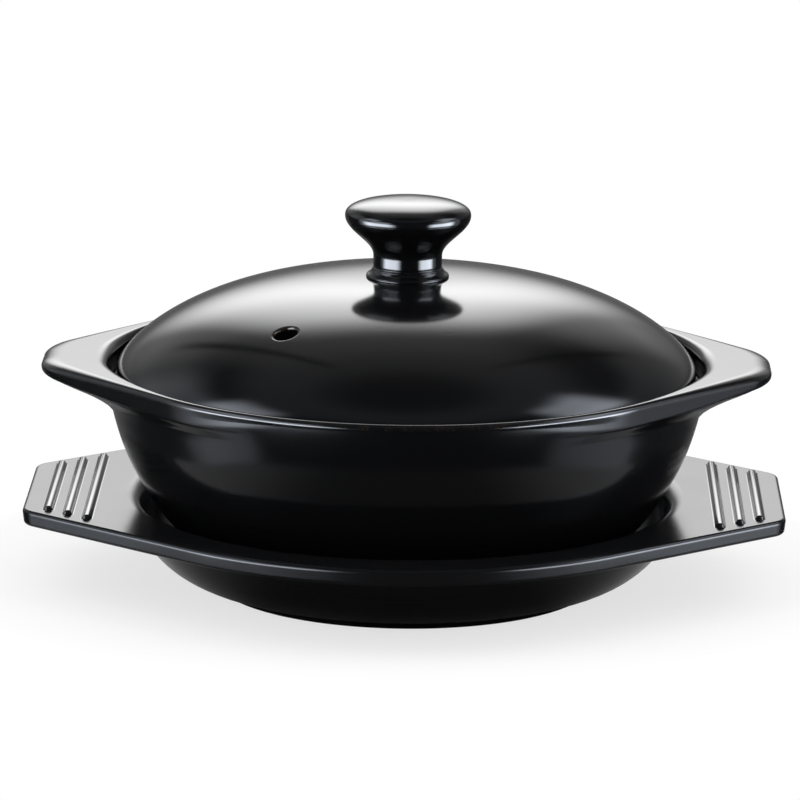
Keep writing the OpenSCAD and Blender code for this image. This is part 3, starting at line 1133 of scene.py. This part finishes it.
@dataclass
class Lid:
    """The domed lid with its steam hole. Sizes in millimetres.

    Attributes:
        radius: Radius of the lid.
        ledge_z: Height of the ledge that it stands on.
        edge_h: Height of its upright edge.
        dome_h: Height of the dome above the upright edge.
        thickness: Thickness of the shell.
        edge_round: Rounding of the edge's lower corner.
        vent_d: Diameter of the steam hole.
        vent_reach: Its distance from the middle.
        vent_turn: Its direction, in degrees.
        vent_round: Rounding of its mouth.
        bulge: Exponent of the dome's reach.
        edge_bulge: Exponent of the dome's height.
        segments: Points of each ring.
        steps: Rings of the outside.
        steps_in: Rings of the inside.
        inner_share: Radius of the inside's first ring, as a share of the lid's.
        hole_rows: Rings of the outside that the hole's patch takes up.
        hole_rows_in: Rings of the inside that it takes up.
        hole_half: Columns on either side of the hole that it takes up.
    """

    radius: float = 107.1
    ledge_z: float = 75.0
    edge_h: float = 7.4
    dome_h: float = 33.4
    thickness: float = 5.5
    edge_round: float = 1.7
    vent_d: float = 8.7
    vent_reach: float = 73.0
    vent_turn: float = -126.0
    vent_round: float = 1.0
    bulge: float = 2.71
    edge_bulge: float = 1.31
    segments: int = 240
    steps: int = 72
    steps_in: int = 64
    inner_share: float = 0.97
    hole_rows: range = range(28, 38)
    hole_rows_in: range = range(27, 37)
    hole_half: int = 4

    @property
    def dome_z(self) -> float:
        """Height of the dome's lower edge."""
        return self.ledge_z + self.edge_h

    def top(self, r: float) -> float:
        """Height of the dome's outside at radius r."""
        share = min(1.0, r / self.radius)
        return self.dome_z + self.dome_h * max(0.0, 1 - share**self.bulge) ** (1 / self.edge_bulge)

    def slope(self, r: float) -> float:
        """Slope of the dome's outside at radius r, falling outwards."""
        s = (r / self.radius) ** self.bulge
        steep = self.dome_h * self.bulge / self.edge_bulge
        return -steep * (1 - s) ** (1 / self.edge_bulge - 1) * s / r

    def under(self, r: float) -> Point:
        """Point of the inside, one thickness below the outside's point at radius r."""
        a = math.atan(self.slope(r))
        return (r + self.thickness * math.sin(a), self.top(r) - self.thickness * math.cos(a))

    def under_z(self, r: float) -> float:
        """Height of the inside at radius r."""
        low, high = 0.1, self.radius * 0.98
        for _ in range(40):
            middle = (low + high) / 2
            low, high = (middle, high) if self.under(middle)[0] < r else (low, middle)
        return self.under(low)[1]

    def profile(self) -> tuple[list[tuple[float, float, int]], int]:
        """Profile of the whole lid and the place in it of the inside's first point.

        Returns:
            Radius, height and finish of each ring, and the number of the inside's first ring.
        """
        quarter = math.pi / 2
        turns = [quarter * i / self.steps for i in range(2, self.steps + 1)]
        turns_in = [quarter * i / self.steps_in for i in range(self.steps_in, 1, -1)]
        outside = [self.radius * math.sin(a) for a in turns]
        rings = [(r, self.top(r), GLAZED) for r in outside]
        centre = (self.radius - self.edge_round, self.ledge_z + self.edge_round)
        upright = arc(centre, self.edge_round, 0, -90, 6)
        rings += [(r, z, GLAZED) for r, z in line((self.radius, self.dome_z), upright[0], 3)]
        glaze_z = self.ledge_z + 2 * HOLD
        rings += [(r, z, GLAZED if z > glaze_z else BARE) for r, z in upright]
        inside = [self.under(self.inner_share * self.radius * math.sin(a)) for a in turns_in]
        seat = (inside[0][0], self.ledge_z)
        rings += [(r, z, BARE) for r, z in [*line(upright[-1], seat, 2), seat]]
        rings += [(r, z, GLAZED) for r, z in line(seat, inside[0], 3)]
        return rings + [(r, z, GLAZED) for r, z in inside], len(rings)

    def pierce(self, parts: Parts, first_in: int) -> None:
        """Opens the steam hole: a rounded mouth, a straight bore and its lower edge.

        Args:
            parts: The lid's closed shell.
            first_in: Number of the inside's first ring.
        """
        turn = round(self.vent_turn % 360 / 360 * self.segments)
        columns = range(turn - self.hole_half, turn + self.hole_half + 1)
        outer = self.patch(self.hole_rows, columns)
        start = first_in + self.steps_in
        inner = self.patch([start - i for i in self.hole_rows_in], columns)
        for loop, inside in (outer, inner):
            parts.open_patch(loop, inside)

        a, lean = math.radians(self.vent_turn), -math.atan(self.slope(self.vent_reach))
        out, up = Vector((math.cos(a), math.sin(a), 0)), Vector((0, 0, 1))
        mouth = out * self.vent_reach + up * self.top(self.vent_reach)
        axis = out * math.sin(lean) + up * math.cos(lean)
        along = out * math.cos(lean) - up * math.sin(lean)
        across = axis.cross(along)
        aways = [parts.points[i] - mouth for i in outer[0]]
        turns = [math.atan2(away.dot(across), away.dot(along)) for away in aways]
        spokes = [math.cos(t) * along + math.sin(t) * across for t in turns]

        def laid(radius: float, inside: bool = False) -> list[Vector]:
            """A circle round the hole, laid on the dome's outside or inside."""
            return [self.drop(mouth + radius * spoke, axis, inside) for spoke in spokes]

        bore, soft = self.vent_d / 2, self.vent_round
        wide = laid(bore + soft + 0.15)
        halves = [p.lerp(parts.points[i], 0.45) for p, i in zip(wide, outer[0], strict=True)]
        rim = [self.drop(p, axis) for p in halves]
        loops = [outer[0], parts.add(rim), parts.add(wide)]
        brow = laid(bore + soft)
        for i in range(7):
            t = math.radians(15 * i)
            inward, down = soft * math.sin(t), soft * (1 - math.cos(t))
            ring = [p - down * axis - inward * spoke for p, spoke in zip(brow, spokes, strict=True)]
            loops.append(parts.add(ring, 0.9))
        low = laid(bore, inside=True)
        top = [parts.points[i] for i in loops[-1]]
        loops += [parts.add(between(top, low, share)) for share in (0.1, 0.5, 0.88)]
        loops.append(parts.add(laid(bore + 0.5, inside=True), 0.6))
        loops.append(parts.add(laid(bore + 0.9, inside=True)))
        loops.append(inner[0])
        parts.strip(loops, [GLAZED] * (len(loops) - 1))

    def drop(self, point: Vector, axis: Vector, inside: bool = False) -> Vector:
        """Moves a point along an axis on to the dome.

        Args:
            point: The point.
            axis: The axis, of length 1.
            inside: Whether it goes to the dome's inside.

        Returns:
            The point on the dome.
        """
        p = point.copy()
        for _ in range(6):
            r = math.hypot(p.x, p.y)
            level = self.under_z(r) if inside else self.top(r)
            p += axis * ((level - p.z) * axis.z)
        return p

    def patch(self, rows: Sequence[int], columns: Sequence[int]) -> tuple[list[int], set[int]]:
        """The points round and inside a patch of rings and columns.

        Args:
            rows: Numbers of the rings, from the middle of the lid outwards.
            columns: Numbers of the columns, counter-clockwise.

        Returns:
            The loop round the patch and the points inside it.
        """
        n = self.segments
        loop = [rows[0] * n + j % n for j in columns]
        loop += [i * n + columns[-1] % n for i in rows[1:]]
        loop += [rows[-1] * n + j % n for j in reversed(columns[:-1])]
        loop += [i * n + columns[0] % n for i in reversed(rows[1:-1])]
        return loop, {i * n + j % n for i in rows[1:-1] for j in columns[1:-1]}

    def build(self, dress: Dresser) -> None:
        """Builds the lid and hangs it on its body."""
        skin = Skin()
        profile, first_in = self.profile()
        for r, z, finish in profile:
            skin.add(turned([(r, z)], self.segments)[0], finish)
        parts = skin.parts()
        self.pierce(parts, first_in)
        mesh = parts.mesh("lid_dome")
        piece = place("lid_dome", mesh, [dress(Finish.GLAZE), dress(Finish.CLAY)])
        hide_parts("lid")
        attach(piece, "lid")
        LOG.info("lid: %d faces", len(mesh.polygons))


@dataclass
class Knob:
    """The turned knob on the lid. Sizes in millimetres.

    Attributes:
        seat_z: Height of its seat on the lid.
        diameter: Diameter of the cap.
        neck_d: Diameter of the neck.
        height: Height of the knob.
        cap_h: Height of the cap above its widest place.
        flare_h: Height of the flare below the widest place.
        cap_bulge: Exponent of the cap's superellipse.
        collar: Profile of the neck's foot: reach past the neck and height above the seat.
        segments: Points of each ring.
        cap_steps: Rings of the cap.
        flare_steps: Rings of the flare.
    """

    seat_z: float = 115.67
    diameter: float = 46.5
    neck_d: float = 25.4
    height: float = 29.0
    cap_h: float = 6.0
    flare_h: float = 14.9
    cap_bulge: float = 2.45
    collar: tuple[Point, ...] = (
        (0.0, 5.6),
        (0.0, 4.4),
        (-0.15, 4.05),
        (-0.04, 3.72),
        (0.25, 3.42),
        (0.48, 2.9),
        (0.85, 2.3),
        (1.4, 1.75),
        (2.0, 1.32),
        (2.42, 0.95),
        (2.62, 0.5),
        (2.6, 0.15),
        (2.5, 0.0),
    )
    segments: int = 160
    cap_steps: int = 40
    flare_steps: int = 32

    def profile(self) -> list[Point]:
        """Radius and height from near the axis on top down to the foot."""
        cap_r, neck_r = self.diameter / 2, self.neck_d / 2
        cap_z = self.seat_z + self.height - self.cap_h
        points = []
        for i in range(2, self.cap_steps + 1):
            a = math.radians(90 * (1 - i / self.cap_steps))
            r = cap_r * math.cos(a) ** (2 / self.cap_bulge)
            points.append((r, cap_z + self.cap_h * math.sin(a) ** (2 / self.cap_bulge)))
        for i in range(1, self.flare_steps + 1):
            t = 1 - i / self.flare_steps
            r = mix(neck_r, cap_r, 0.5 - 0.5 * math.cos(math.pi * t))
            points.append((r, cap_z - self.flare_h * (1 - t)))
        return points + eased([(neck_r + out, self.seat_z + up) for out, up in self.collar], 4)

    def build(self, dress: Dresser) -> None:
        """Builds the knob and hangs it on the lid's body."""
        skin = Skin()
        for ring in turned(self.profile(), self.segments):
            skin.add(ring)
        piece = place("lid_knob", skin.mesh("lid_knob"), [dress(Finish.GLAZE)])
        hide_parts("knob")
        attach(piece, "lid")
        LOG.info("knob: %d faces", len(piece.data.polygons))


@dataclass(frozen=True)
class Panel:
    """A soft panel that lights the object and faces it.

    Attributes:
        name: Its name.
        azimuth: Its direction from the front towards the right, in degrees.
        elevation: Height of its middle above the horizon, in degrees.
        side: Length of its sides, in metres.
        radiance: How bright its face is, where 1 is white.
        distance: Its distance, in metres.
    """

    name: str
    azimuth: float
    elevation: float
    side: float
    radiance: float
    distance: float = 1.3

    def build(self, aim: Vector) -> None:
        """Hangs the panel so that it faces the aim."""
        a, e = math.radians(self.azimuth), math.radians(self.elevation)
        out = Vector((math.sin(a) * math.cos(e), -math.cos(a) * math.cos(e), math.sin(e)))
        lamp = bpy.data.lights.new(self.name, "AREA")
        lamp.shape = "SQUARE"
        lamp.size = self.side
        lamp.energy = self.radiance * math.pi * self.side**2
        holder = bpy.data.objects.new(self.name, lamp)
        facing = out.to_track_quat("Z", "Y").to_matrix().to_4x4()
        holder.matrix_world = Matrix.Translation(aim + out * self.distance) @ facing
        holder.visible_camera = False
        holder.visible_glossy = False
        bpy.context.scene.collection.objects.link(holder)


@dataclass(frozen=True)
class Glow:
    """A bright field of the studio as shiny surfaces see it, soft at its edges.

    Attributes:
        azimuth: Direction of its middle from the front towards the right, in degrees.
        half: Half of its width at half its brightness, in degrees; 180 goes all round.
        soft: Half of the width over which its sides fade, in degrees.
        low: Elevations between which its foot fades in, in degrees.
        high: Elevations between which its top fades out, in degrees.
        level: Its radiance, where 1 is white.
        foot: Share of the brightness left below its foot.
    """

    azimuth: float
    half: float
    soft: float
    low: tuple[float, float]
    high: tuple[float, float]
    level: float
    foot: float = 0.0

    def lay(self, n: Nodes, flat_x: object, flat_y: object, z: object) -> object:
        """Lays the field as nodes.

        Args:
            n: The world's nodes.
            flat_x: Level part of the direction along X, of length 1 with flat_y.
            flat_y: Level part of the direction along Y.
            z: Sine of the direction's elevation.

        Returns:
            The field's radiance in that direction.
        """
        foot = [math.sin(math.radians(e)) for e in self.low]
        top = [math.sin(math.radians(e)) for e in self.high]
        upward = n.math("MULTIPLY", n.span(z, *foot, self.foot, 1.0), n.span(z, *top, 1.0, 0.0))
        if self.half >= 180:
            return n.math("MULTIPLY", upward, self.level)
        a = math.radians(self.azimuth)
        sideways = n.math("MULTIPLY", flat_x, math.sin(a))
        bearing = n.math("SUBTRACT", sideways, n.math("MULTIPLY", flat_y, math.cos(a)))
        wide, narrow = (math.cos(math.radians(self.half + k * self.soft)) for k in (1, -1))
        across = n.span(bearing, wide, narrow, 0.0, self.level)
        return n.math("MULTIPLY", across, upward)


@dataclass
class Studio:
    """White background, pale table, and the bright fields that shiny surfaces show.

    Attributes:
        aim: What the panels face, in metres.
        panels: Lamps for dull surfaces, which shiny ones don't show.
        softboxes: Two low softboxes in front with weaker fields above them.
        fields: What lies behind and beside the object, with two dark streaks at the end.
        tint: Colour of the fields in front; those behind are white.
        tint_span: How far behind the object's middle, as a share, the tint fades out.
        room: Level of the dark room between the fields.
        darkest: Lowest level that the streaks leave.
        plain: Level of the world for dull surfaces.
        table_r: Radius of the table, in metres.
        table_gap: How far the table lies below the object's foot, in metres.
        table_colour: Grey of the table.
        table_dim: Grey of the table as shiny surfaces show it.
        table_glow: Light added to the table, so that the camera sees it nearly white.
        pool: Distances from the middle plane between which the pools fade in, in metres.
        pool_glow: Light of the painted pools of light at the table's sides, which shiny surfaces
            show.
    """

    aim: Vector = field(default_factory=lambda: Vector((0.0, 0.0, 0.07)))
    panels: tuple[Panel, ...] = (
        Panel("fill_left", -57, 40, 1.0, 1.5),
        Panel("fill_right", 68, 40, 1.0, 1.5),
    )
    softboxes: tuple[Glow, ...] = (
        Glow(-56, 25, 12, (-25, -15), (-2, 12), 43.0),
        Glow(-52, 16, 8, (0, 10), (26, 36), 9.0),
        Glow(66, 22, 9, (-25, -15), (-2, 12), 43.0),
        Glow(70, 16, 8, (0, 10), (30, 40), 5.0),
        Glow(-80, 14, 8, (28, 38), (46, 56), 5.0),
        Glow(93, 15, 8, (26, 36), (50, 60), 7.0),
    )
    fields: tuple[Glow, ...] = (
        Glow(-176, 10, 9, (4, 22), (34, 50), 4.4),
        Glow(172, 14, 8, (7, 19), (30, 46), 0.35),
        Glow(-171, 26, 14, (10, 20), (48, 66), 0.4, foot=0.3),
        Glow(180, 85, 15, (0, 10), (32, 42), 0.26),
        Glow(-83, 13, 7, (-50, -32), (38, 52), 2.6),
        Glow(-100, 30, 12, (0, 20), (36, 48), 0.9),
        Glow(88, 18, 8, (-50, -32), (36, 50), 1.8),
        Glow(0, 180, 0, (46, 60), (66, 87), 0.33),
        Glow(-151, 0.8, 1.4, (22, 34), (58, 70), -0.6),
        Glow(150, 0.7, 1.3, (26, 38), (58, 70), -0.25),
    )
    tint: tuple[float, float, float] = (0.90, 0.97, 1.08)
    tint_span: tuple[float, float] = (0.3, 0.95)
    room: float = 0.06
    darkest: float = 0.02
    plain: float = 0.8
    table_r: float = 0.18
    table_gap: float = 2e-5
    table_colour: float = 0.32
    table_dim: float = 0.2
    table_glow: float = 0.7
    pool: tuple[float, float] = (0.05, 0.14)
    pool_glow: float = 0.85

    def world(self) -> None:
        """Lays the world: white to the camera, fields to shiny surfaces, plain to the rest."""
        world = bpy.data.worlds.new("studio_world")
        bpy.context.scene.world = world
        world.use_nodes = True
        world.cycles.sampling_method = "NONE"
        n = Nodes(world.node_tree)
        to = n.new("ShaderNodeSeparateXYZ")
        n.join(n.new("ShaderNodeTexCoord").outputs["Generated"], to.inputs[0])
        x, y, z = to.outputs
        across = n.math("MAXIMUM", n.math("SUBTRACT", 1.0, n.math("MULTIPLY", z, z)), 1e-4)
        level_part = n.math("SQRT", across)
        flat_x, flat_y = n.math("DIVIDE", x, level_part), n.math("DIVIDE", y, level_part)
        light = self.room
        for glow in (*self.fields, *self.softboxes):
            light = n.math("ADD", glow.lay(n, flat_x, flat_y, z), light)
        mirror = n.mirror_rays()
        level = n.mix_value(mirror, self.plain, n.math("MAXIMUM", light, self.darkest))
        shade = n.new("ShaderNodeBackground")
        n.join(n.mix_value(n.camera_rays(), level, 1.0), shade.inputs["Strength"])
        cool = n.math("MULTIPLY", n.span(flat_y, *self.tint_span, 1.0, 0.0), mirror)
        n.join(n.blend(cool, (1.0, 1.0, 1.0, 1.0), (*self.tint, 1.0)), shade.inputs["Color"])
        n.join(shade.outputs[0], n.new("ShaderNodeOutputWorld").inputs[0])

    def table(self) -> None:
        """Lays the pale table, which keeps the object's shadow."""
        count = 128
        turns = [2 * math.pi * i / count for i in range(count)]
        r, z = self.table_r, -self.table_gap
        rim = [(r * math.cos(a), r * math.sin(a), z) for a in turns]
        mesh = bpy.data.meshes.new("table_top")
        mesh.from_pydata(rim, [], [tuple(range(count))])
        material = bpy.data.materials.new("pale_table")
        material.use_nodes = True
        n = Nodes(material.node_tree)
        mirror = n.mirror_rays()
        place_on = n.new("ShaderNodeSeparateXYZ")
        n.join(n.new("ShaderNodeTexCoord").outputs["Object"], place_on.inputs[0])
        # Painted pools of light: the table glows at its sides only for shiny and clear surfaces.
        pools = n.span(n.math("ABSOLUTE", place_on.outputs[0]), *self.pool, 0.0, self.pool_glow)
        seen = n.math("MULTIPLY", n.camera_rays(), self.table_glow)
        glow = n.new("ShaderNodeEmission")
        n.join(n.math("ADD", seen, n.math("MULTIPLY", mirror, pools)), glow.inputs["Strength"])
        pale, dim = ((grey, grey, grey, 1.0) for grey in (self.table_colour, self.table_dim))
        face = n.new("ShaderNodeBsdfDiffuse")
        n.join(n.blend(mirror, pale, dim), face.inputs["Color"])
        both = n.new("ShaderNodeAddShader")
        n.join(face.outputs[0], both.inputs[0])
        n.join(glow.outputs[0], both.inputs[1])
        n.join(both.outputs[0], n.new("ShaderNodeOutputMaterial").inputs["Surface"])
        place("table_top", mesh, [material])

    def build(self) -> None:
        """Builds the studio."""
        self.world()
        self.table()
        for panel in self.panels:
            panel.build(self.aim)


@dataclass(frozen=True)
class Viewpoint:
    """The photograph's viewpoint.

    Attributes:
        azimuth: Turn from the front towards the left, in degrees.
        elevation: Height above the horizon, in degrees.
        roll: Turn of the camera about its line of sight, in degrees.
        distance: Distance from the aim, in metres.
        lens: Focal length on a 36 mm sensor, in millimetres.
        aim: Point in the middle of the picture, in metres.
    """

    azimuth: float = 0.80
    elevation: float = 12.87
    roll: float = 0.586
    distance: float = 2.2
    lens: float = 267.05
    aim: tuple[float, float, float] = (-0.0023, 0.0, 0.0688)

    def build(self) -> None:
        """Sets the scene's camera."""
        a, e, r = (math.radians(v) for v in (self.azimuth, self.elevation, self.roll))
        back = Vector((math.sin(a) * math.cos(e), -math.cos(a) * math.cos(e), math.sin(e)))
        right = Vector((0, 0, 1)).cross(back).normalized()
        up = back.cross(right)
        c, s = math.cos(r), math.sin(r)
        right, up = right * c + up * s, up * c - right * s
        data = bpy.data.cameras.new("camera")
        data.lens, data.sensor_width = self.lens, 36.0
        data.clip_start, data.clip_end = 0.1, 20.0
        camera = bpy.data.objects.new("camera", data)
        turn = Matrix((right, up, back)).transposed().to_4x4()
        camera.matrix_world = Matrix.Translation(Vector(self.aim) + back * self.distance) @ turn
        bpy.context.scene.collection.objects.link(camera)
        bpy.context.scene.camera = camera


def main() -> None:
    """Builds the scene round the frame."""
    logging.basicConfig(level=logging.INFO, format="%(name)s: %(message)s")
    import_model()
    dress = Dresser()
    Viewpoint().build()
    Studio().build()
    for part in (Tray(), Pot(), Lid(), Knob()):
        part.build(dress)
    bpy.context.scene.view_settings.view_transform = "Standard"


if __name__ == "__main__":
    main()
